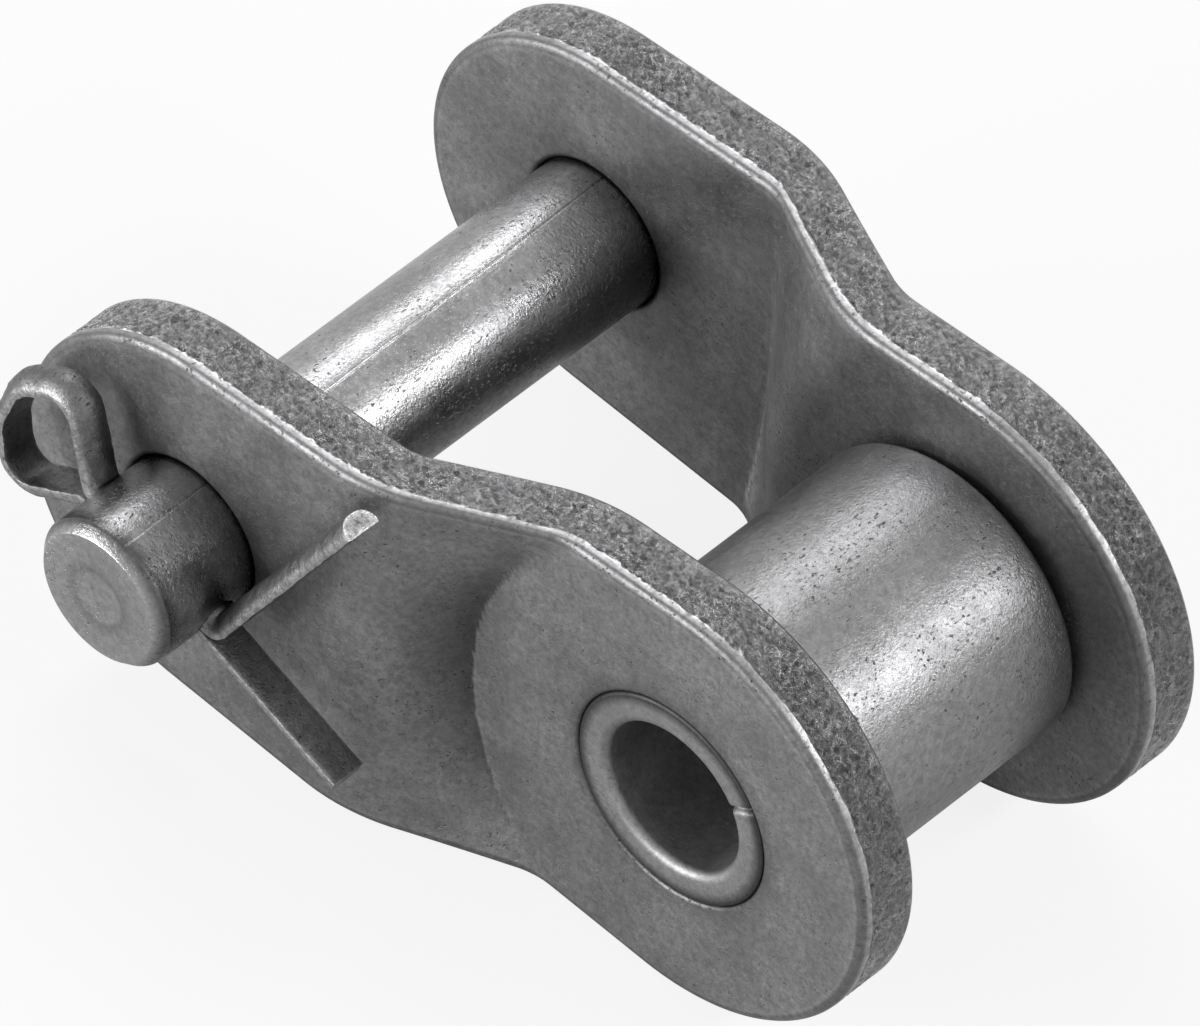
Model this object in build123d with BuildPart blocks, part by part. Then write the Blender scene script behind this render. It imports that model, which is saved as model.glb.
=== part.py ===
from build123d import *
import math
import os

# Offset link of a 31.75 mm pitch roller chain, with a slip-fit pin held by a bent cotter.
#
# X runs along the chain from the pin to the bush, Y along the bush away from the cotter,
# Z up across the height of the plates. The origin is the centre of the bush's bore.
# Millimetres.

# Chain size
PITCH = 31.75
INNER_WIDTH = 18.9
ROLLER_DIAMETER = 19.05
PIN_DIAMETER = 9.53
PLATE_THICKNESS = 4.0

# Side plates: two rounds joined by straight flanks
PIN_END_WIDTH = 28.6
PIN_END_RADIUS = 12.6
BUSH_END_RADIUS = 14.35
DIE_ROLL = 0.5
HOLE_MOUTH_BEVEL = 0.3
PIN_HOLE_RADIUS = 4.83
D_FLAT = 3.9
D_FLAT_PLAY = 0.05

# The crank in each plate: its two bend corners, measured along X from the pin axis, and
# their radii. It is a long soft bend at the rims and a short sharp one at mid-height.
RIM_HEIGHT = 15.0
CRANK_FROM = 7.5
CRANK_TO = 27.0
RIM_INNER_CORNERS = (12.1, 22.8)
RIM_INNER_RADII = (5.0, 14.0)
RIM_OUTER_CORNERS = (12.7, 23.9)
RIM_OUTER_RADII = (16.0, 6.0)
MIDDLE_INNER_CORNERS = (13.6, 17.6)
MIDDLE_INNER_RADII = (1.5, 5.0)
MIDDLE_OUTER_CORNERS = (13.0, 16.95)
MIDDLE_OUTER_RADII = (5.0, 1.5)

# Bush, rolled from strip, and the roller that turns on it
BUSH_RADIUS = 6.85
BORE_RADIUS = 4.8
BORE_MOUTH_BEVEL = 0.6
BUSH_END_BEVEL = 0.3
SEAM_WIDTH = 0.1
SEAM_DEPTH = 0.3
SEAM_ANGLE = 33.0
ROLLER_PLAY = 0.07
ROLLER_SIDE_PLAY = 0.4
ROLLER_BEVEL = 0.4

# Pin and its cross hole
PIN_COTTER_END = 25.5
PIN_PLAIN_END = 19.1
PIN_END_BEVEL = 0.7
PIN_PLAIN_BEVEL = 0.3
DIMPLE_RADIUS = 1.6
DIMPLE_DEPTH = 0.15
COTTER_HOLE_RADIUS = 1.45
COTTER_HOLE_Y = 20.75
COTTER_TILT = 21.5
COTTER_ROLL = 3.0

# Cotter: half-round wire doubled over an eye, its upper leg bent away. U runs along the
# cross hole towards the leg ends and V across it, both from the pin axis.
WIRE_RADIUS = 1.27
WIRE_SIDES = 12
WIRE_GAP = 0.02
NECK_U = -5.1
NECK_RADIUS = 1.4
EYE_LOWER_CORNERS = ((-9.0, -4.6), (-11.1, -1.6))
EYE_UPPER_CORNERS = ((-11.4, 1.6), (-9.2, 4.75))
EYE_SHOULDER_RADIUS = 1.3
EYE_CROWN_RADIUS = 2.2
LOWER_LEG_END = 16.1
UPPER_LEG_CORNER = 6.0
UPPER_LEG_BEND = 1.4
UPPER_LEG_ANGLE = 81.8
UPPER_LEG_LENGTH = 16.8

# How far blanks and cuts run past the faces that bound them
MARGIN = 1.0

os.makedirs("parts", exist_ok=True)

pin_radius = PIN_DIAMETER / 2
inner_pin_y = PIN_END_WIDTH / 2
inner_bush_y = INNER_WIDTH / 2
outer_pin_y = inner_pin_y + PLATE_THICKNESS
outer_bush_y = inner_bush_y + PLATE_THICKNESS
blank_left = -PITCH - PIN_END_RADIUS - MARGIN
blank_right = BUSH_END_RADIUS + MARGIN

# One cranked strip, for the far side: the crank lofted over the height, then its two flats
rim_profile = (RIM_INNER_CORNERS, RIM_INNER_RADII, RIM_OUTER_CORNERS, RIM_OUTER_RADII)
middle_profile = (MIDDLE_INNER_CORNERS, MIDDLE_INNER_RADII, MIDDLE_OUTER_CORNERS, MIDDLE_OUTER_RADII)
crank_profiles = ((-RIM_HEIGHT, rim_profile), (0, middle_profile), (RIM_HEIGHT, rim_profile))
with BuildPart() as strip:
    for section_z, (inner_x, inner_radii, outer_x, outer_radii) in crank_profiles:
        with BuildSketch(Plane((-PITCH, 0, section_z))):
            with BuildLine():
                inner_face = FilletPolyline(
                    (CRANK_FROM, inner_pin_y),
                    (inner_x[0], inner_pin_y),
                    (inner_x[1], inner_bush_y),
                    (CRANK_TO, inner_bush_y),
                    radius=inner_radii,
                )
                outer_face = FilletPolyline(
                    (CRANK_FROM, outer_pin_y),
                    (outer_x[0], outer_pin_y),
                    (outer_x[1], outer_bush_y),
                    (CRANK_TO, outer_bush_y),
                    radius=outer_radii,
                )
                Line(inner_face @ 0, outer_face @ 0)
                Line(inner_face @ 1, outer_face @ 1)
            make_face()
    loft()
    for flat_from, flat_to, face_y in (
        (blank_left, CRANK_FROM - PITCH, inner_pin_y),
        (CRANK_TO - PITCH, blank_right, inner_bush_y),
    ):
        with Locations(((flat_from + flat_to) / 2, face_y + PLATE_THICKNESS / 2, 0)):
            Box(flat_to - flat_from, PLATE_THICKNESS, 2 * RIM_HEIGHT)

with BuildPart() as outline:
    with BuildSketch(Plane.XZ):
        Circle(BUSH_END_RADIUS)
        with Locations((-PITCH, 0)):
            Circle(PIN_END_RADIUS)
        make_hull()
    extrude(amount=outer_pin_y + MARGIN, both=True)

# Head side plate: its rim broken on its inner face, its pin hole flatted to stop the pin turning
with BuildPart() as head_side_plate:
    add(strip.part)
    add(outline.part, mode=Mode.INTERSECT)
    rolled_edges = faces().filter_by(lambda face: face.normal_at().Y < -0.5).edges()
    chamfer([e for e in rolled_edges if sum(e.is_same(other) for other in rolled_edges) == 1], DIE_ROLL)
    with BuildSketch(Plane.XZ.offset(-inner_pin_y + MARGIN)):
        with Locations((-PITCH, 0)):
            Circle(PIN_HOLE_RADIUS)
            with Locations((0, -D_FLAT - D_FLAT_PLAY - PIN_HOLE_RADIUS)):
                Rectangle(2 * PIN_HOLE_RADIUS, 2 * PIN_HOLE_RADIUS, mode=Mode.SUBTRACT)
    extrude(amount=-PLATE_THICKNESS - 2 * MARGIN, mode=Mode.SUBTRACT)
    with BuildSketch(Plane.XZ.offset(-inner_bush_y + MARGIN)):
        Circle(BUSH_RADIUS)
    extrude(amount=-PLATE_THICKNESS - 2 * MARGIN, mode=Mode.SUBTRACT)
    pin_hole_edges = edges().filter_by(GeomType.CIRCLE).group_by(SortBy.RADIUS)[0]
    chamfer(pin_hole_edges.sort_by(Axis.Y)[0], HOLE_MOUTH_BEVEL)
head_side_plate.part.label = "head_side_plate"
export_step(head_side_plate.part, "parts/head_side_plate.step")

# Cotter side plate: the same strip turned over, its rim broken on its outer face
with BuildPart() as cotter_side_plate:
    add(mirror(strip.part, about=Plane.XZ))
    add(outline.part, mode=Mode.INTERSECT)
    rolled_edges = faces().filter_by(lambda face: face.normal_at().Y < -0.5).edges()
    chamfer([e for e in rolled_edges if sum(e.is_same(other) for other in rolled_edges) == 1], DIE_ROLL)
    with BuildSketch(Plane.XZ.offset(inner_bush_y - MARGIN)):
        Circle(BUSH_RADIUS)
        with Locations((-PITCH, 0)):
            Circle(PIN_HOLE_RADIUS)
    extrude(amount=outer_pin_y - inner_bush_y + 2 * MARGIN, mode=Mode.SUBTRACT)
    pin_hole_edges, bush_hole_edges = edges().filter_by(GeomType.CIRCLE).group_by(SortBy.RADIUS)[:2]
    hole_mouths = [pin_hole_edges.sort_by(Axis.Y)[0], bush_hole_edges.sort_by(Axis.Y)[0]]
    chamfer(hole_mouths, HOLE_MOUTH_BEVEL)
cotter_side_plate.part.label = "cotter_side_plate"
export_step(cotter_side_plate.part, "parts/cotter_side_plate.step")

# Bush: flush with the plates' outer faces, with the closed seam of its rolled strip
with BuildPart() as bush:
    with BuildSketch(Plane.XZ):
        Circle(BUSH_RADIUS)
        Circle(BORE_RADIUS, mode=Mode.SUBTRACT)
    extrude(amount=outer_bush_y, both=True)
    chamfer(edges().filter_by(GeomType.CIRCLE).group_by(SortBy.RADIUS)[0], BORE_MOUTH_BEVEL)
    chamfer(edges().filter_by(GeomType.CIRCLE).group_by(SortBy.RADIUS)[-1], BUSH_END_BEVEL)
    with Locations(Plane.XZ):
        with Locations(Location((0, 0, 0), (0, 0, SEAM_ANGLE))):
            with Locations((BORE_RADIUS, 0, 0)):
                Box(2 * SEAM_DEPTH, SEAM_WIDTH, 2 * outer_bush_y + MARGIN, mode=Mode.SUBTRACT)
            with Locations((BUSH_RADIUS, 0, outer_bush_y), (BUSH_RADIUS, 0, -outer_bush_y)):
                Box(2 * BUSH_RADIUS, SEAM_WIDTH, 2 * SEAM_DEPTH, mode=Mode.SUBTRACT)
bush.part.label = "bush"
export_step(bush.part, "parts/bush.step")

with BuildPart() as roller:
    with BuildSketch(Plane.XZ):
        Circle(ROLLER_DIAMETER / 2)
        Circle(BUSH_RADIUS + ROLLER_PLAY, mode=Mode.SUBTRACT)
    extrude(amount=inner_bush_y - ROLLER_SIDE_PLAY, both=True)
    chamfer(edges().filter_by(GeomType.CIRCLE), ROLLER_BEVEL)
roller.part.label = "roller"
export_step(roller.part, "parts/roller.step")

# Pin: flatted where the head side plate holds it, bevelled and cross drilled at the cotter end
cotter_angle = math.radians(COTTER_TILT)
cotter_roll = math.radians(COTTER_ROLL)
leg_direction = Vector(math.cos(cotter_angle), 0, -math.sin(cotter_angle))
across_direction = Vector(math.sin(cotter_angle), 0, math.cos(cotter_angle))
cotter_plane = Plane(
    origin=(-PITCH, -COTTER_HOLE_Y, 0),
    x_dir=leg_direction,
    z_dir=across_direction * math.sin(cotter_roll) - Vector(0, 1, 0) * math.cos(cotter_roll),
)
with BuildPart() as pin:
    with BuildSketch(Plane.XZ.offset(-PIN_PLAIN_END)):
        with Locations((-PITCH, 0)):
            Circle(pin_radius)
    extrude(amount=PIN_PLAIN_END + PIN_COTTER_END)
    cotter_end = faces().sort_by(Axis.Y)[0]
    chamfer(cotter_end.edges(), PIN_END_BEVEL)
    chamfer(faces().sort_by(Axis.Y)[-1].edges(), PIN_PLAIN_BEVEL)
    with Locations((-PITCH, inner_pin_y + pin_radius, -D_FLAT - pin_radius)):
        Box(2 * PIN_DIAMETER, PIN_DIAMETER, PIN_DIAMETER, mode=Mode.SUBTRACT)
    with Locations(Plane((-PITCH, -COTTER_HOLE_Y, 0), z_dir=leg_direction)):
        Cylinder(COTTER_HOLE_RADIUS, 2 * PIN_DIAMETER, mode=Mode.SUBTRACT)
    with Locations((-PITCH, -PIN_COTTER_END - DIMPLE_RADIUS + DIMPLE_DEPTH, 0)):
        Sphere(DIMPLE_RADIUS, mode=Mode.SUBTRACT)
pin.part.label = "pin"
export_step(pin.part, "parts/pin.step")

# Cotter: the flat face of the wire follows one line, up the lower leg, round the eye and out again
flat_v = WIRE_GAP / 2
upper_angle = math.radians(UPPER_LEG_ANGLE)
upper_leg_end = (
    UPPER_LEG_CORNER + UPPER_LEG_LENGTH * math.cos(upper_angle),
    flat_v + UPPER_LEG_LENGTH * math.sin(upper_angle),
)
with BuildPart() as cotter_pin:
    with BuildLine(cotter_plane) as wire_line:
        FilletPolyline(
            (LOWER_LEG_END, -flat_v),
            (NECK_U, -flat_v),
            *EYE_LOWER_CORNERS,
            *EYE_UPPER_CORNERS,
            (NECK_U, flat_v),
            (UPPER_LEG_CORNER, flat_v),
            upper_leg_end,
            radius=[
                NECK_RADIUS,
                EYE_SHOULDER_RADIUS,
                EYE_CROWN_RADIUS,
                EYE_CROWN_RADIUS,
                EYE_SHOULDER_RADIUS,
                NECK_RADIUS,
                UPPER_LEG_BEND,
            ],
        )
    leg_end = wire_line.line @ 0
    with BuildSketch(Plane(leg_end, x_dir=cotter_plane.z_dir, z_dir=-leg_direction)):
        RegularPolygon(WIRE_RADIUS, WIRE_SIDES)
        with Locations((0, WIRE_RADIUS)):
            Rectangle(2 * WIRE_RADIUS, 2 * WIRE_RADIUS, mode=Mode.SUBTRACT)
    sweep()
cotter_pin.part.label = "cotter_pin"
export_step(cotter_pin.part, "parts/cotter_pin.step")
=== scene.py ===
import math

import bmesh
import bpy
import numpy as np
from mathutils import Matrix, Vector, noise
from mathutils.geometry import delaunay_2d_cdt


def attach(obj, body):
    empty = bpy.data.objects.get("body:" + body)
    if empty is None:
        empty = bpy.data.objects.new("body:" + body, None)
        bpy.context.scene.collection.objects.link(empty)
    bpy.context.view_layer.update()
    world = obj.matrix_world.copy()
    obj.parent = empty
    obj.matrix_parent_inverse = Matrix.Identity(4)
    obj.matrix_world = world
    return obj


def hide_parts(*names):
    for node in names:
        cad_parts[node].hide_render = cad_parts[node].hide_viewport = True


# Looks of the offset roller-chain link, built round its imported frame. Every piece is a fine
# mesh of the solid it stands for, worked out from the same dimensions, in millimetres with
# the origin at the centre of the bush's bore. Rolled and torn edges, softer mouths and tighter
# inner bends of the crank set it apart from the solid, by 0.25 mm at most.

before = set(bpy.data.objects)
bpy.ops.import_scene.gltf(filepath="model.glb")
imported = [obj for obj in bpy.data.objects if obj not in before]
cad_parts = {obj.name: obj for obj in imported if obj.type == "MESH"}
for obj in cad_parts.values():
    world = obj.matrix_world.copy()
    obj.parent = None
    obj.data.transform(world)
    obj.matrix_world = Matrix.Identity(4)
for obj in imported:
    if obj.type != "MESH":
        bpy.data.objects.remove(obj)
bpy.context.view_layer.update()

MM = 0.001
TAU = 2 * math.pi

# Dimensions of the solids
PITCH = 31.75
PIN_END_RADIUS = 12.6
BUSH_END_RADIUS = 14.35
INNER_PIN_Y = 14.3
INNER_BUSH_Y = 9.45
PLATE = 4.0
PIN_RADIUS = 4.765
PIN_HOLE_RADIUS = 4.83
BUSH_RADIUS = 6.85
BORE_RADIUS = 4.8
ROLLER_RADIUS = 9.525
ROLLER_BORE = 6.92
ROLLER_END_Y = 9.05
BUSH_END_Y = 13.45
PIN_NEAR_Y = -25.5
PIN_FAR_Y = 19.1
FLAT_Z = -3.9
RIM_HEIGHT = 15.0
CRANK_FROM = 7.5
CRANK_TO = 27.0
FLAT_PLAY = 0.05
COTTER_HOLE_RADIUS = 1.45
COTTER_Y = 20.75
COTTER_TILT = math.radians(21.5)
COTTER_ROLL = math.radians(3.0)

# Where the crank bends, in X from the pin, at the plates' rims and at their mid height
INNER_RIM_BENDS = (12.1, 22.8)
INNER_MID_BENDS = (13.6, 17.6)
OUTER_RIM_BENDS = (12.7, 23.9)
OUTER_MID_BENDS = (13.0, 16.95)


# ---------------------------------------------------------------- materials


def grey(level):
    return (level, level, level * 1.015, 1.0)


class Shader:
    """A new material, and short ways to add and join its nodes. Sizes of features are in millimetres."""

    def __init__(self, name):
        self.material = bpy.data.materials.new(name)
        self.material.use_nodes = True
        self.tree = self.material.node_tree
        self.surface = next(n for n in self.tree.nodes if n.type == "BSDF_PRINCIPLED")
        self.place = self.tree.nodes.new("ShaderNodeTexCoord").outputs["Object"]

    def put(self, value, socket):
        if isinstance(value, bpy.types.NodeSocket):
            self.tree.links.new(value, socket)
        else:
            socket.default_value = value

    def value(self, name):
        node = self.tree.nodes.new("ShaderNodeAttribute")
        node.attribute_name = name
        return node.outputs["Fac"]

    def math(self, operation, a, b):
        node = self.tree.nodes.new("ShaderNodeMath")
        node.operation = operation
        self.put(a, node.inputs[0])
        self.put(b, node.inputs[1])
        return node.outputs["Value"]

    def times(self, a, b):
        return self.math("MULTIPLY", a, b)

    def plus(self, a, b):
        return self.math("ADD", a, b)

    def ramp(self, value, low, high, low_out=0.0, high_out=1.0):
        node = self.tree.nodes.new("ShaderNodeMapRange")
        for key, number in (
            ("Value", value),
            ("From Min", low),
            ("From Max", high),
            ("To Min", low_out),
            ("To Max", high_out),
        ):
            self.put(number, node.inputs[key])
        return node.outputs["Result"]

    def mix(self, factor, a, b):
        node = self.tree.nodes.new("ShaderNodeMix")
        node.data_type = "RGBA"
        self.put(factor, node.inputs[0])
        self.put(a, node.inputs[6])
        self.put(b, node.inputs[7])
        return node.outputs[2]

    def noise(self, size, detail=3.0, rough=0.6, stretch=(1.0, 1.0, 1.0)):
        place = self.place
        if stretch != (1.0, 1.0, 1.0):
            mapping = self.tree.nodes.new("ShaderNodeMapping")
            mapping.inputs["Scale"].default_value = stretch
            self.put(place, mapping.inputs["Vector"])
            place = mapping.outputs["Vector"]
        node = self.tree.nodes.new("ShaderNodeTexNoise")
        node.inputs["Scale"].default_value = 1 / (size * MM)
        node.inputs["Detail"].default_value = detail
        node.inputs["Roughness"].default_value = rough
        self.put(place, node.inputs["Vector"])
        return node.outputs["Fac"]

    def bump(self, height):
        node = self.tree.nodes.new("ShaderNodeBump")
        node.inputs["Strength"].default_value = 1.0
        node.inputs["Distance"].default_value = MM
        self.put(height, node.inputs["Height"])
        self.put(node.outputs["Normal"], self.surface.inputs["Normal"])


# Noise is stretched this way for lines along Y
ALONG_Y = (1.0, 0.04, 1.0)
RIM_DARK = grey(0.21)
RIM_LIGHT = grey(0.44)
RIM_RELIEF = 1.4
# Lighter grey of burnished metal, also used as a painted highlight on the far plate's slope
BURNISH_AND_HIGHLIGHT = grey(0.52)
# Near black, mixed into the colour as painted shade
SHADE_GREY = grey(0.012)


def steel(name, dark, light, roughness, specks, grit, drawn=0.0):
    """Steel that drifts between two greys, with fine dark specks.

    The mesh's values, from 0 to 1, say where the metal was sheared (rim), where it was burnished
    (edge, which also paints a highlight on the far plate's slope) and where shade is painted dark into the
    colour. Specks is how strongly they show, from 0 to 1.
    Grit is the depth of the fine relief and drawn that of the lines along Y, in millimetres.
    """
    s = Shader(name)
    rim, edge, soot = s.value("rim"), s.value("edge"), s.value("soot")

    colour = s.mix(s.ramp(s.noise(7.0, 5.0), 0.35, 0.66), grey(dark), grey(light))
    mottle = s.ramp(s.noise(0.5, 6.0, 0.8), 0.36, 0.64)
    colour = s.mix(s.times(mottle, 0.8), colour, grey(dark * 0.6))
    patches = s.ramp(s.noise(2.6, 3.0), 0.38, 0.58)
    speck = s.ramp(s.noise(0.2, 3.0, 0.6, (1.0, 0.6, 1.0)), 0.59, 0.68)
    speck = s.times(speck, s.times(patches, specks))
    colour = s.mix(speck, colour, grey(dark * 0.3))

    clouds = s.ramp(s.noise(1.5, 5.0), 0.42, 0.6)
    grains = s.noise(0.38, 5.0, 0.68)
    sheared = s.mix(s.ramp(grains, 0.4, 0.6), RIM_DARK, RIM_LIGHT)
    sheared = s.mix(s.times(clouds, 0.6), sheared, RIM_DARK)
    colour = s.mix(rim, colour, sheared)
    # Burnished metal in beads, and a painted highlight where the far plate's slope has its edge value
    beads = s.ramp(s.noise(0.4, 4.0, 0.7), 0.36, 0.58, 0.15, 1.0)
    shine = s.times(edge, beads)
    colour = s.mix(shine, colour, BURNISH_AND_HIGHLIGHT)
    # Shade painted into the colour where the mesh's shade value is high
    colour = s.mix(soot, colour, SHADE_GREY)
    s.put(colour, s.surface.inputs["Base Color"])
    s.surface.inputs["Metallic"].default_value = 1.0

    rough = s.ramp(s.noise(3.0, 5.0), 0.3, 0.7, roughness - 0.06, roughness + 0.08)
    rough = s.plus(rough, s.times(speck, 0.3))
    rough = s.math("SUBTRACT", rough, s.times(rim, 0.2))
    rough = s.math("SUBTRACT", rough, s.times(shine, 0.12))
    s.put(rough, s.surface.inputs["Roughness"])

    relief = s.times(s.noise(0.2, 3.0, 0.65), grit)
    relief = s.plus(relief, s.times(s.noise(1.1, 3.0), 0.008))
    relief = s.plus(relief, s.times(s.noise(6.0, 2.0), 0.04))
    relief = s.plus(relief, s.times(s.times(grains, rim), RIM_RELIEF))
    relief = s.math("SUBTRACT", relief, s.times(speck, 0.02))
    if drawn:
        relief = s.plus(relief, s.times(s.noise(0.25, 3.0, 0.6, ALONG_Y), drawn))
        relief = s.plus(relief, s.times(s.noise(1.1, 3.0, 0.6, ALONG_Y), drawn * 2.5))
    s.bump(relief)
    return s.material


plate_steel = steel("plate_steel", dark=0.205, light=0.315, roughness=0.46, specks=0.95, grit=0.02)
bush_steel = steel("bush_steel", dark=0.235, light=0.295, roughness=0.55, specks=0.6, grit=0.016)
roller_steel = steel(
    "roller_steel", dark=0.25, light=0.31, roughness=0.36, specks=1.0, grit=0.036, drawn=0.005
)
pin_steel = steel("pin_steel", dark=0.32, light=0.41, roughness=0.27, specks=1.0, grit=0.03, drawn=0.008)
wire_steel = steel("wire_steel", dark=0.14, light=0.23, roughness=0.42, specks=1.0, grit=0.036)


# ---------------------------------------------------------------- mesh tools


def fbm(point, scale, octaves=3):
    """Smooth noise of a point in millimetres, about -1 to 1, features 1/scale mm across."""
    return noise.fractal(Vector(point) * scale, 1.0, 2.0, octaves, noise_basis="PERLIN_NEW")


def noise_array(points, scale, octaves=3):
    return np.array([fbm(p, scale, octaves) for p in points])


class Builder:
    """Collects the points and faces of one piece, with its values for sheared metal, burnished metal with
    some painted highlight, and painted shade.
    """

    def __init__(self):
        self.points = []
        self.values = {"rim": [], "edge": [], "soot": []}
        self.faces = []

    def add(self, points, **values):
        start = len(self.points)
        points = np.asarray(points, float)
        self.points.extend(points.tolist())
        for key, data in self.values.items():
            data.extend(np.broadcast_to(values.get(key, 0.0), len(points)).tolist())
        return np.arange(start, start + len(points))

    def loop(self, rings, closed=True):
        for ring_a, ring_b in zip(rings, rings[1:] + rings[:1] if closed else rings[1:]):
            count = len(ring_a)
            for i in range(count):
                j = (i + 1) % count
                self.faces.append((ring_a[i], ring_a[j], ring_b[j], ring_b[i]))

    def cap(self, ring):
        middle = self.add([np.mean([self.points[i] for i in ring], axis=0)])[0]
        for i, a in enumerate(ring):
            self.faces.append((a, ring[(i + 1) % len(ring)], middle))

    def finish(self, node, material, body="link_frame", crease=50.0):
        name = node + "_look"
        mesh = bpy.data.meshes.new(name)
        points = (np.array(self.points) * MM).tolist()
        faces = [tuple(int(i) for i in face) for face in self.faces]
        mesh.from_pydata(points, [], faces)
        work = bmesh.new()
        work.from_mesh(mesh)
        bmesh.ops.recalc_face_normals(work, faces=work.faces)
        work.to_mesh(mesh)
        work.free()
        for key, data in self.values.items():
            attribute = mesh.attributes.new(key, "FLOAT", "POINT")
            attribute.data.foreach_set("value", np.clip(data, 0, 1).astype(np.float32))
        mesh.shade_smooth()
        mesh.set_sharp_from_angle(angle=math.radians(crease))
        mesh.materials.append(material)
        obj = bpy.data.objects.new(name, mesh)
        bpy.context.scene.collection.objects.link(obj)
        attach(obj, body)
        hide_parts(node)
        return obj


def round_corner(corner, before, after, radius, steps=6):
    """Points of an arc that rounds the corner of a profile, from the side of before to the side of after."""
    corner, before, after = (np.array(p, float) for p in (corner, before, after))
    u = (before - corner) / np.linalg.norm(before - corner)
    v = (after - corner) / np.linalg.norm(after - corner)
    half = math.acos(max(-1.0, min(1.0, float(u @ v)))) / 2
    reach = radius / math.tan(half)
    middle = corner + (u + v) / np.linalg.norm(u + v) * radius / math.sin(half)
    start, end = corner + u * reach - middle, corner + v * reach - middle
    turn = math.pi - 2 * half
    out = []
    for k in range(steps + 1):
        t = k / steps
        out.append(middle + (start * math.sin((1 - t) * turn) + end * math.sin(t * turn)) / math.sin(turn))
    return out


def divided(a, b, step):
    """Points between a and b, without them, about a step apart."""
    count = int(np.linalg.norm(b - a) / step)
    return [a + (b - a) * k / (count + 1) for k in range(1, count + 1)]


def profile(corners, closed=True, step=1.2):
    """Points along a polygon of (r, y, corner radius, values), its corners rounded, its runs divided."""
    count = len(corners)
    path = []
    for i, (r, y, radius, _) in enumerate(corners):
        if not closed and i in (0, count - 1):
            path.append([np.array((r, y), float)])
        else:
            path.append(round_corner((r, y), corners[i - 1][:2], corners[(i + 1) % count][:2], radius))
    points, values = [], []
    for i, part in enumerate(path):
        points += part
        values += [corners[i][3]] * len(part)
        if closed or i < count - 1:
            between = divided(part[-1], path[(i + 1) % count][0], step)
            points += between
            values += [{}] * len(between)
    return points, values


# ---------------------------------------------------------------- side plates


def bent_line(corners, radii, pin_y, bush_y, steps=14):
    """Flat, bend, slope, bend, flat of the crank, as points (x, y) with the same count for any radii."""
    a, b, c, d = (
        np.array((x - PITCH, y))
        for x, y in ((CRANK_FROM, pin_y), (corners[0], pin_y), (corners[1], bush_y), (CRANK_TO, bush_y))
    )
    first = round_corner(b, a, c, radii[0], steps)
    second = round_corner(c, b, d, radii[1], steps)
    flat = [a + (first[0] - a) * k / 4 for k in range(4)]
    slope = [first[-1] + (second[0] - first[-1]) * k / 6 for k in range(1, 6)]
    tail = [second[-1] + (d - second[-1]) * k / 4 for k in range(1, 5)]
    return np.array(flat + first + slope + second + tail)


# Each crank's line at the rims and at mid height. The solids have a radius of 1.5 where these
# have 0.6 and 0.5.
INNER_CRANK = (
    bent_line(INNER_RIM_BENDS, (5.0, 14.0), INNER_PIN_Y, INNER_BUSH_Y),
    bent_line(INNER_MID_BENDS, (0.6, 5.0), INNER_PIN_Y, INNER_BUSH_Y),
)
OUTER_CRANK = (
    bent_line(OUTER_RIM_BENDS, (16.0, 6.0), INNER_PIN_Y + PLATE, INNER_BUSH_Y + PLATE),
    bent_line(OUTER_MID_BENDS, (5.0, 0.5), INNER_PIN_Y + PLATE, INNER_BUSH_Y + PLATE),
)


def face_height(xz, crank):
    """Distance from the mid-plane of a plate's face over points (x, z)."""
    rim_line, mid_line = crank
    x, z = xz[:, 0], xz[:, 1]
    share = ((z / RIM_HEIGHT) ** 2)[:, None]
    line_x = mid_line[None, :, 0] + (rim_line - mid_line)[None, :, 0] * share
    line_y = mid_line[None, :, 1] + (rim_line - mid_line)[None, :, 1] * share
    low = np.clip((line_x < x[:, None]).sum(axis=1) - 1, 0, line_x.shape[1] - 2)
    rows = np.arange(len(x))
    xa, xb = line_x[rows, low], line_x[rows, low + 1]
    ya, yb = line_y[rows, low], line_y[rows, low + 1]
    t = np.clip((x - xa) / np.maximum(xb - xa, 1e-9), 0, 1)
    return ya + (yb - ya) * t


def outline_points(step):
    """Evenly spaced points round the plate with their outward normals, as (x, z)."""
    top = math.pi / 2 + math.asin((BUSH_END_RADIUS - PIN_END_RADIUS) / PITCH)
    points, normals = [], []

    def on(cx, radius, angle):
        return np.array((cx + radius * math.cos(angle), radius * math.sin(angle)))

    def arc(cx, radius, start, end):
        count = int(abs(end - start) * radius / step)
        for angle in start + (end - start) * np.arange(count) / count:
            points.append(on(cx, radius, angle))
            normals.append((math.cos(angle), math.sin(angle)))

    def run(start, end, angle):
        count = int(math.dist(start, end) / step)
        for k in range(count):
            points.append(start + (end - start) * k / count)
            normals.append((math.cos(angle), math.sin(angle)))

    arc(0, BUSH_END_RADIUS, -top, top)
    run(on(0, BUSH_END_RADIUS, top), on(-PITCH, PIN_END_RADIUS, top), top)
    arc(-PITCH, PIN_END_RADIUS, top, TAU - top)
    run(on(-PITCH, PIN_END_RADIUS, -top), on(0, BUSH_END_RADIUS, -top), -top)
    return np.array(points), np.array(normals)


def outline_depth(xz):
    """How far inside the plate's outline points (x, z) are."""
    lean = (BUSH_END_RADIUS - PIN_END_RADIUS) / PITCH
    level = math.sqrt(1 - lean * lean)
    x, z = xz[:, 0], np.abs(xz[:, 1])
    along = x * level + z * lean
    flank = BUSH_END_RADIUS - (-x * lean + z * level)
    bush_end = BUSH_END_RADIUS - np.hypot(x, z)
    pin_end = PIN_END_RADIUS - np.hypot(x + PITCH, z)
    return np.where(along > 0, bush_end, np.where(along < -PITCH * level, pin_end, flank))


HOLE_STEPS = 180


def hole_points(cx, radius, flat):
    """Points (x, z) round a hole, which may have a flat at a height."""
    angles = np.linspace(0, TAU, HOLE_STEPS, endpoint=False)
    z = radius * np.sin(angles)
    if flat is not None:
        z = np.maximum(z, flat)
    return np.column_stack([cx + radius * np.cos(angles), z])


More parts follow.
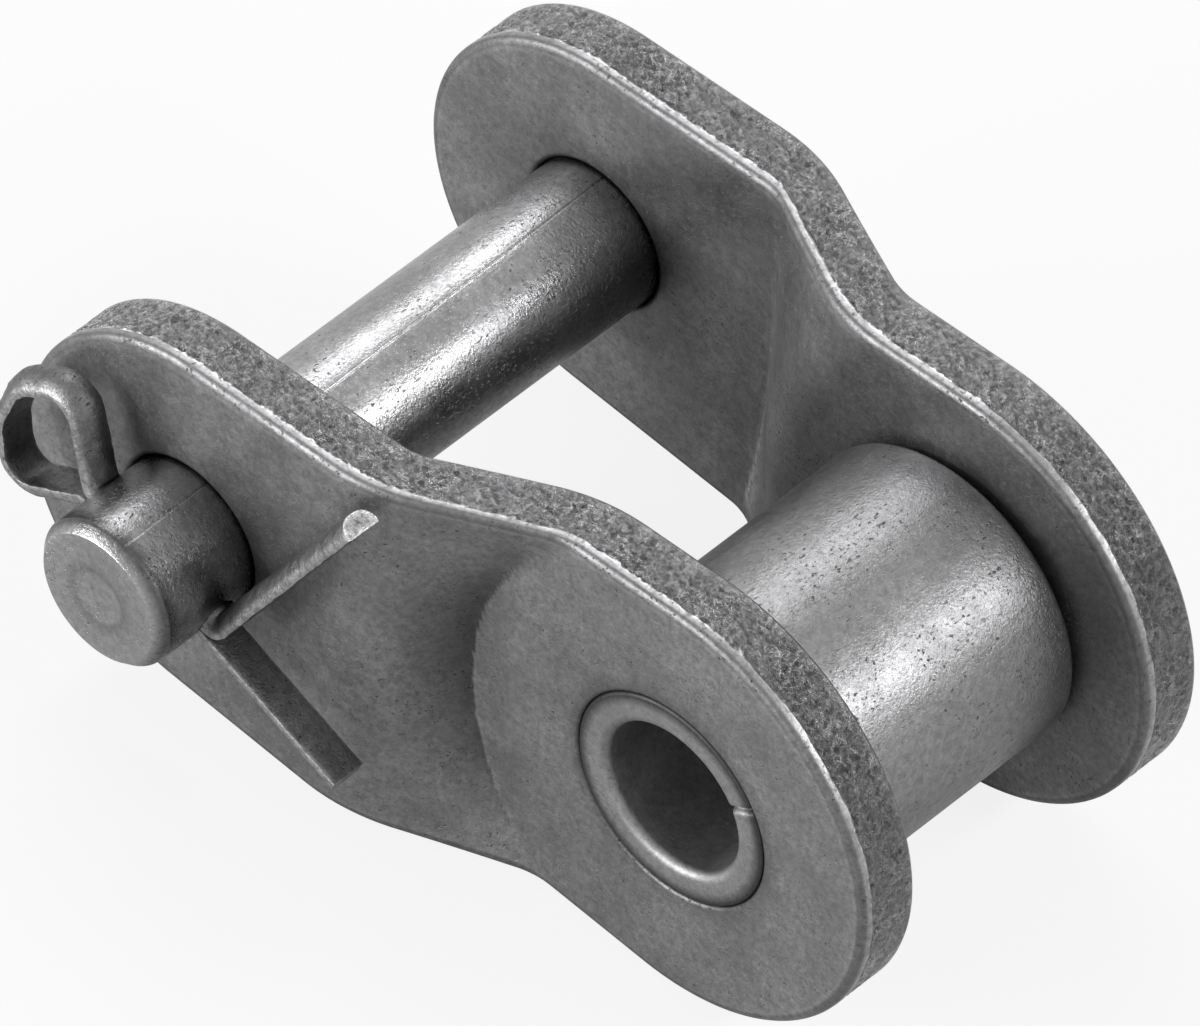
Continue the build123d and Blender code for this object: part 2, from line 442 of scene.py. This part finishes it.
# Points inside the plates' faces lie on a fine grid over the crank and a coarse one elsewhere
FINE_X = (-24.0, -7.0)
FINE_Z = 14.0
FINE_STEPS = (0.15, 0.4)
COARSE_X = (-46.0, 16.0)
COARSE_STEPS = (0.8, 0.8)
GRID_GAP = 0.2
GRID_TO_RIM = 1.35
GRID_TO_HOLE = 0.7


def grid(x_range, z_reach, steps):
    return np.mgrid[x_range[0] : x_range[1] : steps[0], -z_reach : z_reach : steps[1]].reshape(2, -1).T


def fill_face(builder, outer, holes, height, painted_light):
    """Triangles over one face between its outer ring and its holes, fine where the crank bends.

    Outer and holes are (ring, xz) pairs of point numbers and places. The last argument gives the values at
    places, which paint shade and highlights into the colour.
    """
    fine = grid(FINE_X, FINE_Z, FINE_STEPS)
    coarse = grid(COARSE_X, RIM_HEIGHT, COARSE_STEPS)
    coarse = coarse[(coarse[:, 0] < FINE_X[0] - GRID_GAP) | (coarse[:, 0] > FINE_X[1])]
    inside = np.vstack([fine, coarse])
    keep = outline_depth(inside) > GRID_TO_RIM
    for _, xz in holes:
        middle = (xz.max(axis=0) + xz.min(axis=0)) / 2
        keep &= np.hypot(*(inside - (middle[0], 0)).T) > np.ptp(xz[:, 0]) / 2 + GRID_TO_HOLE
    inside = inside[keep]
    coords, numbers, edges, spans = [], [], [], []
    for ring, xz in [outer] + holes:
        start = len(coords)
        coords += [Vector(p) for p in xz]
        numbers += list(ring)
        edges += [(start + i, start + (i + 1) % len(ring)) for i in range(len(ring))]
        spans.append(range(start, start + len(ring)))
    places = np.column_stack([inside[:, 0], height(inside), inside[:, 1]])
    numbers += list(builder.add(places, **painted_light(inside)))
    coords += [Vector(p) for p in inside]
    _, _, faces, origin, _, _ = delaunay_2d_cdt(coords, edges, [], 1, 1e-6)
    for face in faces:
        source = [origin[i][0] for i in face]
        in_a_hole = any(all(i in span for i in source) for span in spans[1:])
        if not in_a_hole:
            builder.faces.append(tuple(numbers[i] for i in source))


# Painted shade round the pin on both plates: its strength, and how far from the hole it fades
PIN_SHADE = 0.5
PIN_SHADE_REACH = 5.5
# Painted shade on the near plate's slope, back from just past its inner bend
CREASE_SHADE = 0.74
CREASE_REACH = 4.0
CREASE_HALF_HEIGHT = 11.5
CREASE_OFFSET = 0.1
# Width of the painted highlight strip on the far plate's slope
CREASE_BRIGHT = 1.9


def bend_at(z, rim_bend, mid_bend):
    """X of a bend of the crank at heights z."""
    return mid_bend + (rim_bend - mid_bend) * (z / RIM_HEIGHT) ** 2 - PITCH


def shade_round_pin(xz):
    """Shade painted dark into the plate round the pin."""
    away = np.hypot(xz[:, 0] + PITCH, xz[:, 1]) - PIN_HOLE_RADIUS
    return PIN_SHADE * np.clip(1 - away / PIN_SHADE_REACH, 0, 1) ** 2


def near_painted_shade(xz):
    """The near plate's outer face: painted shade round the pin and on the slope, against its inner bend."""
    x, z = xz[:, 0], xz[:, 1]
    crease = bend_at(z, OUTER_RIM_BENDS[1], OUTER_MID_BENDS[1]) + CREASE_OFFSET
    behind = np.clip((x - crease) / CREASE_REACH + 1, 0, 1) * (x < crease)
    fade = np.clip(1 - (z / CREASE_HALF_HEIGHT) ** 2, 0, 1)
    return {"soot": shade_round_pin(xz) + CREASE_SHADE * behind**1.3 * np.sqrt(fade)}


def far_painted_shade_and_highlight(xz):
    """The far plate's inner face: painted shade round the pin, and a painted highlight on its slope just
    past the bend, stronger lower down.
    """
    x, z = xz[:, 0], xz[:, 1]
    crease = bend_at(z, INNER_RIM_BENDS[0], INNER_MID_BENDS[0])
    past = np.clip(1 - (x - crease) / CREASE_BRIGHT, 0, 1) * (x > crease)
    return {"soot": shade_round_pin(xz), "edge": past * (0.25 + 0.75 * np.clip(-z / 7, 0, 1))}


# The +Y faces get no painted shade or highlight
def no_painted_light(xz):
    return {}


ROLL_REACH = 0.95
ROLL_DROP = 0.6
ROLL_SQUARENESS = 0.7
ROLL_STEPS = 8
WALL_RINGS = 38
OUTLINE_STEP = 0.105
# The burnished band below the roll: its width, its wander and how softly it ends
BAND_WIDTH = 0.14
BAND_WANDER = 0.12
BAND_SOFTNESS = 0.08
TEAR_DEPTH = 0.25
FAR_EDGE = 0.16


def rolled_rim(builder, seed, lower, upper):
    """The plate's rim from its -Y face to its +Y face: rolled over, burnished, then sheared off rough."""
    outline, normals = outline_points(OUTLINE_STEP)
    rings = []

    def ring(inset, y, **values):
        xz = outline - normals * np.reshape(inset, (-1, 1))
        rings.append((builder.add(np.column_stack([xz[:, 0], y, xz[:, 1]]), **values), xz))

    # A band of shade is painted across the middle of the roll
    for k in range(ROLL_STEPS + 1):
        angle = k / ROLL_STEPS * math.pi / 2
        inset = ROLL_REACH * (1 - math.sin(angle) ** ROLL_SQUARENESS)
        y = lower(outline - normals * inset) + ROLL_DROP * (1 - math.cos(angle) ** ROLL_SQUARENESS)
        ring(inset, y, edge=max(0.16 * (k == 1), (k - 5) * 0.14), soot=0.3 * (2 <= k <= 6))
    start = lower(outline) + ROLL_DROP
    end = upper(outline) - FAR_EDGE
    wander = noise_array(np.insert(outline, 2, seed, axis=1), 0.45, 4)
    for k in range(1, WALL_RINGS + 1):
        share = k / WALL_RINGS
        y = start + (end - start) * share
        sheared = np.clip((y - start - BAND_WIDTH - BAND_WANDER * wander) / BAND_SOFTNESS, 0, 1)
        points = np.column_stack([outline[:, 0], y, outline[:, 1] + seed])
        lumps = noise_array(points, 2.9, 4)
        hollows = np.clip(noise_array(points + 9.0, 0.8, 3) - 0.15, 0, 1)
        fade = min(1.0, (1 - share) * 6)
        inset = sheared * fade * (0.05 - 0.12 * lumps + 0.2 * hollows)
        ring(np.clip(inset, 0.0, TEAR_DEPTH), y, rim=sheared, edge=0.7 * (1 - sheared))
    ring(0.05, upper(outline) - 0.05, rim=0.5, edge=0.3)
    ring(0.18, upper(outline), edge=0.2)
    builder.loop([numbers for numbers, _ in rings], closed=False)
    return rings[0], rings[-1]


MOUTH_STEPS = 5
PIN_HOLE_MOUTH = 0.4
BUSH_HOLE_MOUTH = 0.3


def hole_walls(builder, cx, radius, flat, mouth, lower, upper):
    """A hole from its rounded mouth in the -Y face to its plain edge in the +Y face."""
    rings = []

    def ring(grow, face, lift, **values):
        xz = hole_points(cx, radius + grow, None if flat is None else flat - grow)
        rings.append((builder.add(np.column_stack([xz[:, 0], face(xz) + lift, xz[:, 1]]), **values), xz))

    # Shade is painted into the hole, growing down the mouth and darkest at the far face
    for k in range(MOUTH_STEPS + 1):
        angle = k / MOUTH_STEPS * math.pi / 2
        ring(mouth * (1 - math.sin(angle)), lower, mouth * (1 - math.cos(angle)), soot=0.3 + 0.14 * k)
    ring(0.0, upper, -0.08, soot=0.8)
    ring(0.08, upper, 0.0, edge=0.2)
    builder.loop([numbers for numbers, _ in rings], closed=False)
    return rings[0], rings[-1]


def face_of(crank, side):
    """The Y of one face of a plate, as a function of places (x, z)."""
    return lambda xz: side * face_height(xz, crank)


def side_plate(node, side, pin_flat):
    """One cranked plate: side is -1 at the cotter and 1 at the far end. Its -Y face has the rolled edge."""
    low_crank, high_crank = (INNER_CRANK, OUTER_CRANK) if side > 0 else (OUTER_CRANK, INNER_CRANK)
    lower, upper = face_of(low_crank, side), face_of(high_crank, side)
    builder = Builder()
    low_rim, high_rim = rolled_rim(builder, 40.0 * side, lower, upper)
    pin_low, pin_high = hole_walls(
        builder, -PITCH, PIN_HOLE_RADIUS, pin_flat, PIN_HOLE_MOUTH, lower, upper
    )
    bush_low, bush_high = hole_walls(builder, 0.0, BUSH_RADIUS, None, BUSH_HOLE_MOUTH, lower, upper)
    fill_face(builder, low_rim, [pin_low, bush_low], lower, near_painted_shade if side < 0 else far_painted_shade_and_highlight)
    fill_face(builder, high_rim, [pin_high, bush_high], upper, no_painted_light)
    builder.finish(node, plate_steel)


side_plate("cotter_side_plate", -1, None)
side_plate("head_side_plate", 1, FLAT_Z - FLAT_PLAY)


# ---------------------------------------------------------------- turned pieces


ROLLER_STEPS = 256
TURNED_STEPS = 200


def angles_from(angles, centre):
    """Angles measured from centre, between -pi and pi."""
    return (angles - centre + math.pi) % TAU - math.pi


def both_sides(*offsets):
    """Offsets to either side of an angle, and the angle itself."""
    return [sign * offset for offset in offsets for sign in (-1, 1)] + [0.0]


def angles_round(count, fine_at=None, fine_offsets=()):
    """Angles round a circle, with extra ones close to fine_at."""
    angles = np.linspace(0, TAU, count, endpoint=False)
    if fine_at is not None:
        near = np.abs(angles_from(angles, fine_at)) < max(fine_offsets) + 0.01
        angles = np.concatenate([angles[~near], (fine_at + np.array(fine_offsets)) % TAU])
    return np.sort(angles)


def lathe(builder, points, values, angles, change=None, cx=0.0, twist=0.0, flat_from=None, closed=True):
    """Rings of a profile of (r, y) turned about the Y axis through x = cx.

    Twist turns the rings along Y, and beyond flat_from the piece is cut flat at FLAT_Z.
    """
    rings = []
    for (r, y), value in zip(points, values):
        radius = np.full(len(angles), float(r))
        height = np.full(len(angles), float(y))
        if change:
            radius, height = change(radius, height, angles)
        x = cx + radius * np.cos(angles + twist * y)
        z = radius * np.sin(angles + twist * y)
        if flat_from is not None and y > flat_from:
            z = np.maximum(z, FLAT_Z)
        rings.append(builder.add(np.column_stack([x, height, z]), **value))
    builder.loop(rings, closed)
    return rings


roller = Builder()
roller_corners = [
    (ROLLER_BORE, -ROLLER_END_Y, 0.4, {}),
    (ROLLER_RADIUS, -ROLLER_END_Y, 0.55, {"edge": 0.15}),
    (ROLLER_RADIUS, ROLLER_END_Y, 0.55, {"edge": 0.15}),
    (ROLLER_BORE, ROLLER_END_Y, 0.4, {}),
]
lathe(roller, *profile(roller_corners), angles_round(ROLLER_STEPS))
roller.finish("roller", roller_steel, body="roller")

SEAM = math.radians(33.0)
SEAM_OFFSETS = both_sides(0.005, 0.01, 0.017, 0.025, 0.035, 0.05, 0.07)
SEAM_LINE_WIDTH = 0.07
SEAM_LINE_DEPTH = 0.1
NOTCH_WIDTH = 0.16
NOTCH_DEPTH = 0.22
NOTCH_DROP = 0.3
NOTCH_REACH = 1.2
WALL_MIDDLE = 5.8


def seam_cut(radius, height, angles):
    """The closed seam of the rolled strip: a fine line inside and out, and a small notch at each end."""
    across = angles_from(angles, SEAM) * radius
    line = np.exp(-((across / SEAM_LINE_WIDTH) ** 2))
    notch = np.exp(-((across / NOTCH_WIDTH) ** 2))
    near_end = np.clip((np.abs(height) - (BUSH_END_Y - NOTCH_REACH)) / NOTCH_REACH, 0, 1)
    wall = np.where(radius < WALL_MIDDLE, 1.0, -1.0)
    radius = radius + wall * (SEAM_LINE_DEPTH * line + NOTCH_DEPTH * notch * near_end**2)
    height = height - np.sign(height) * notch * near_end**2 * NOTCH_DROP
    return radius, height


bush = Builder()
# Shade is painted dark on the bush's outer corners, in the gap where they meet the plates
bush_corners = [
    (BORE_RADIUS, -BUSH_END_Y, 0.6, {"edge": 0.1}),
    (BUSH_RADIUS, -BUSH_END_Y, 0.22, {"soot": 0.8}),
    (BUSH_RADIUS, BUSH_END_Y, 0.22, {"soot": 0.8}),
    (BORE_RADIUS, BUSH_END_Y, 0.6, {"edge": 0.1}),
]
bush_angles = angles_round(TURNED_STEPS, SEAM, SEAM_OFFSETS)
lathe(bush, *profile(bush_corners), bush_angles, change=seam_cut)
bush.finish("bush", bush_steel)


# ---------------------------------------------------------------- pin

# A fine scratch runs the pin's length, turning slightly, at this angle in its middle
SCRATCH = math.radians(83.0)
SCRATCH_TURN = math.radians(0.25)
SCRATCH_OFFSETS = both_sides(0.006, 0.012, 0.02, 0.03, 0.045, 0.06, 0.08)
SCRATCH_DEPTH = 0.04
SCRATCH_WIDTH = 0.045
# Painted shade on the pin where it enters each plate: its strength and reach
ENTRY_SHADE = 0.55
ENTRY_REACH = 3.4
# Points within this of the pin's full radius are on its side
ON_THE_SIDE = 0.1


def scratch_cut(radius, height, angles):
    across = angles_from(angles, SCRATCH) * radius
    cut = SCRATCH_DEPTH * np.exp(-((across / SCRATCH_WIDTH) ** 2))
    return radius - cut * (radius > PIN_RADIUS - ON_THE_SIDE), height


def shade_beside_plate(r, y):
    """Shade painted dark on the pin's side where it enters a plate."""
    if r <= PIN_RADIUS - ON_THE_SIDE:
        return 0.0
    gap = max(0.0, abs(abs(y) - INNER_PIN_Y - PLATE / 2) - PLATE / 2)
    return ENTRY_SHADE * max(0.0, 1 - gap / ENTRY_REACH) ** 1.5


pin = Builder()
# Shade is painted into the ring groove on the pin's end face and onto its bevel
pin_corners = [
    (0.02, PIN_NEAR_Y + 0.14, 0.0, {}),
    (1.55, PIN_NEAR_Y + 0.05, 0.6, {}),
    (1.9, PIN_NEAR_Y + 0.01, 0.12, {"soot": 0.3}),
    (PIN_RADIUS - 0.6, PIN_NEAR_Y + 0.02, 0.14, {"edge": 0.25}),
    (PIN_RADIUS, PIN_NEAR_Y + 0.7, 0.5, {"soot": 0.65}),
    (PIN_RADIUS, PIN_FAR_Y, 0.3, {"edge": 0.3}),
    (0.02, PIN_FAR_Y, 0.0, {}),
]
pin_angles = angles_round(TURNED_STEPS, SCRATCH, SCRATCH_OFFSETS)
points, values = profile(pin_corners, closed=False, step=0.8)
values = [{"soot": shade_beside_plate(r, y), **value} for (r, y), value in zip(points, values)]
rings = lathe(
    pin,
    points,
    values,
    pin_angles,
    change=scratch_cut,
    cx=-PITCH,
    twist=SCRATCH_TURN,
    flat_from=INNER_PIN_Y,
    closed=False,
)
pin.cap(rings[0])
pin.cap(rings[-1])
pin_look = pin.finish("pin", pin_steel, crease=35.0)


# ---------------------------------------------------------------- cotter

# U runs along the cross hole towards the leg ends, V across it and W out of the pin's end
U = Vector((math.cos(COTTER_TILT), 0, -math.sin(COTTER_TILT)))
ACROSS = Vector((math.sin(COTTER_TILT), 0, math.cos(COTTER_TILT)))
V = ACROSS * math.cos(COTTER_ROLL) + Vector((0, 1, 0)) * math.sin(COTTER_ROLL)
W = U.cross(V)
HOLE = Vector((-PITCH, -COTTER_Y, 0))

WIRE = 1.25
WIRE_CORNER = 0.2
DENT_DEPTH = 0.07
BURR_WIDTH = 0.14
BURR_SHINE = 0.5
TIP_SHINES = (0.2, 0.9)
FLAT_V = 0.01
NECK_U = -5.1
UPPER_ANGLE = math.radians(81.8)
UPPER_LENGTH = 16.8
UPPER_CORNER = np.array((6.0, FLAT_V))
UPPER_END = UPPER_CORNER + UPPER_LENGTH * np.array((math.cos(UPPER_ANGLE), math.sin(UPPER_ANGLE)))

# Corners (u, v) of the wire's flat face and their radii, from the straight leg round the eye
WIRE_CORNERS = [
    ((16.1, -FLAT_V), 0.0),
    ((NECK_U, -FLAT_V), 1.4),
    ((-9.0, -4.6), 1.3),
    ((-11.1, -1.6), 2.2),
    ((-11.4, 1.6), 2.2),
    ((-9.2, 4.75), 1.3),
    ((NECK_U, FLAT_V), 1.4),
    (tuple(UPPER_CORNER), 1.4),
    (tuple(UPPER_END), 0.0),
]


def wire_path(step=0.2):
    """Points (u, v) of the wire's flat face, close together."""
    places = [np.array(place, float) for place, _ in WIRE_CORNERS]
    parts = [[places[0]]]
    for before, (corner, radius), after in zip(places, WIRE_CORNERS[1:], places[2:]):
        parts.append(round_corner(corner, before, after, radius, steps=9))
    parts.append([places[-1]])
    path = []
    for part, following in zip(parts, parts[1:]):
        path += part + divided(part[-1], following[0], step)
    return np.array(path + parts[-1])


def wire_section():
    """Points (outward, across) of the half-round wire, its corners softened, starting on the flat."""
    flat = [(0.0, w) for w in np.linspace(-0.8, 0.8, 5) * WIRE]
    side = (WIRE_CORNER * 0.25, WIRE - WIRE_CORNER * 0.35)
    back = [(WIRE * math.cos(a), WIRE * math.sin(a)) for a in np.radians(np.linspace(80, -80, 15))]
    return np.array(flat + [side] + back + [(side[0], -side[1])])


cotter = Builder()
path = wire_path()
tangents = np.gradient(path, axis=0)
tangents /= np.linalg.norm(tangents, axis=1)[:, None]
section = wire_section()
burr = np.where(np.abs(np.abs(section[:, 1]) - WIRE) < BURR_WIDTH, BURR_SHINE, 0.0)
rings = []
for index, (point, tangent) in enumerate(zip(path, tangents)):
    outward = np.array((-tangent[1], tangent[0]))
    ring = []
    for out, across in section:
        place = point + outward * out
        spot = HOLE + U * float(place[0]) + V * float(place[1]) + W * float(across)
        dent = DENT_DEPTH * fbm(spot, 1.6, 4) if out > 0.02 else 0.0
        ring.append(spot + (U * float(outward[0]) + V * float(outward[1])) * dent)
    tip = {0: TIP_SHINES[0], len(path) - 1: TIP_SHINES[1]}.get(index, 0.0)
    rings.append(cotter.add(ring, edge=burr + tip))
cotter.loop(rings, closed=False)
cotter.cap(rings[0])
cotter.cap(rings[-1])
cotter.finish("cotter_pin", wire_steel, crease=40.0)


def drill(obj, radius):
    """Cut the cross hole through the pin once, and keep the cut mesh."""
    mesh = bpy.data.meshes.new("drill")
    work = bmesh.new()
    bmesh.ops.create_cone(work, cap_ends=True, segments=64, radius1=radius, radius2=radius, depth=14 * MM)
    work.to_mesh(mesh)
    work.free()
    cutter = bpy.data.objects.new("drill", mesh)
    bpy.context.scene.collection.objects.link(cutter)
    cutter.matrix_world = Matrix.Translation(HOLE * MM) @ U.to_track_quat("Z", "Y").to_matrix().to_4x4()
    cut = obj.modifiers.new("cut", "BOOLEAN")
    cut.object = cutter
    cut.solver = "EXACT"
    bpy.context.view_layer.update()
    done = bpy.data.meshes.new_from_object(obj.evaluated_get(bpy.context.evaluated_depsgraph_get()))
    obj.modifiers.clear()
    obj.data = done
    bpy.data.objects.remove(cutter)


drill(pin_look, COTTER_HOLE_RADIUS * MM)


# ---------------------------------------------------------------- floor, light and camera


def background_rays(tree):
    """Two sockets: 1 for camera rays, and 1 for camera, reflected and refracted rays."""
    rays = tree.nodes.new("ShaderNodeLightPath")
    total = rays.outputs["Is Camera Ray"]
    for name in ("Is Glossy Ray", "Is Transmission Ray"):
        node = tree.nodes.new("ShaderNodeMath")
        node.operation = "MAXIMUM"
        tree.links.new(total, node.inputs[0])
        tree.links.new(rays.outputs[name], node.inputs[1])
        total = node.outputs[0]
    return rays.outputs["Is Camera Ray"], total


# The floor's glow for reflected and refracted rays, and how much more of it the camera sees
GLOW_REFLECTED = 0.12
GLOW_SEEN = 0.73
FLOOR_COLOUR = (0.9, 0.9, 0.9, 1)


def stage_material():
    """Nearly white to the camera, with the object's light shadow, and less bright in reflections."""
    s = Shader("floor_white")
    s.surface.inputs["Base Color"].default_value = FLOOR_COLOUR
    s.surface.inputs["Roughness"].default_value = 0.9
    glow = s.tree.nodes.new("ShaderNodeEmission")
    glow.inputs["Color"].default_value = (1, 1, 1, 1)
    blend = s.tree.nodes.new("ShaderNodeMixShader")
    seen, reflected = background_rays(s.tree)
    glowing = s.plus(s.times(seen, GLOW_SEEN), s.times(reflected, GLOW_REFLECTED))
    s.put(glowing, blend.inputs["Fac"])
    s.put(s.surface.outputs[0], blend.inputs[1])
    s.put(glow.outputs[0], blend.inputs[2])
    output = next(n for n in s.tree.nodes if n.type == "OUTPUT_MATERIAL")
    s.put(blend.outputs[0], output.inputs["Surface"])
    return s.material


# The floor, the lamps and the camera are placed in metres
SPREAD = 6.0
LOW = -BUSH_END_RADIUS * MM
floor_mesh = bpy.data.meshes.new("floor")
floor_corners = [(x * SPREAD, y * SPREAD, LOW) for x, y in ((-1, -1), (1, -1), (1, 1), (-1, 1))]
floor_mesh.from_pydata(floor_corners, [], [(0, 1, 2, 3)])
floor_mesh.materials.append(stage_material())
floor = bpy.data.objects.new("floor", floor_mesh)
bpy.context.scene.collection.objects.link(floor)

# The lamps point at the middle of the pitch
TARGET = Vector((-PITCH / 2, 0, 0)) * MM


def softbox(name, direction, distance, length, width, power):
    """A lamp whose long side lies along Y as nearly as it can while facing the object."""
    data = bpy.data.lights.new(name, "AREA")
    data.shape = "RECTANGLE"
    data.size = length
    data.size_y = width
    data.energy = power
    lamp = bpy.data.objects.new(name, data)
    bpy.context.scene.collection.objects.link(lamp)
    aim = Vector(direction).normalized()
    side = (Vector((0, 1, 0)) - aim * aim.y).normalized()
    turn = Matrix((side, aim.cross(side), aim)).transposed()
    lamp.matrix_world = Matrix.Translation(TARGET + aim * distance) @ turn.to_4x4()


softbox("back_right", (0.69, 0.42, 0.56), distance=0.9, length=0.75, width=0.15, power=4.2)
softbox("back_left", (-0.53, 0.42, 0.67), distance=0.9, length=0.75, width=0.17, power=2.9)
softbox("front_left", (-0.55, -0.83, 0.1), distance=1.2, length=0.8, width=0.7, power=26.0)

world = bpy.data.worlds.new("studio")
bpy.context.scene.world = world
world.use_nodes = True
tree = world.node_tree
background = next(n for n in tree.nodes if n.type == "BACKGROUND")
background.inputs["Color"].default_value = (0.2, 0.2, 0.2, 1)
background.inputs["Strength"].default_value = 1.0
white = tree.nodes.new("ShaderNodeBackground")
white.inputs["Color"].default_value = (1, 1, 1, 1)
choose = tree.nodes.new("ShaderNodeMixShader")
tree.links.new(background_rays(tree)[1], choose.inputs["Fac"])
tree.links.new(background.outputs[0], choose.inputs[1])
tree.links.new(white.outputs[0], choose.inputs[2])
output = next(n for n in tree.nodes if n.type == "OUTPUT_WORLD")
tree.links.new(choose.outputs[0], output.inputs["Surface"])

# Where the camera stood and which way it faced, solved from points of the photograph
CAMERA_PLACE = Vector((451.90, -577.33, 815.28)) * MM
CAMERA_RIGHT = (0.72776, 0.68281, 0.06422)
CAMERA_UP = (-0.53818, 0.51054, 0.67060)
CAMERA_BACK = (0.42511, -0.52260, 0.73903)

camera_data = bpy.data.cameras.new("camera")
camera_data.lens = 600.0
camera_data.sensor_width = 36.0
camera_data.sensor_fit = "HORIZONTAL"
camera_data.clip_end = 50.0
camera = bpy.data.objects.new("camera", camera_data)
bpy.context.scene.collection.objects.link(camera)
camera_turn = Matrix((CAMERA_RIGHT, CAMERA_UP, CAMERA_BACK)).transposed().to_4x4()
camera.matrix_world = Matrix.Translation(CAMERA_PLACE) @ camera_turn
bpy.context.scene.camera = camera
bpy.context.scene.view_settings.view_transform = "Standard"

bpy.context.view_layer.update()
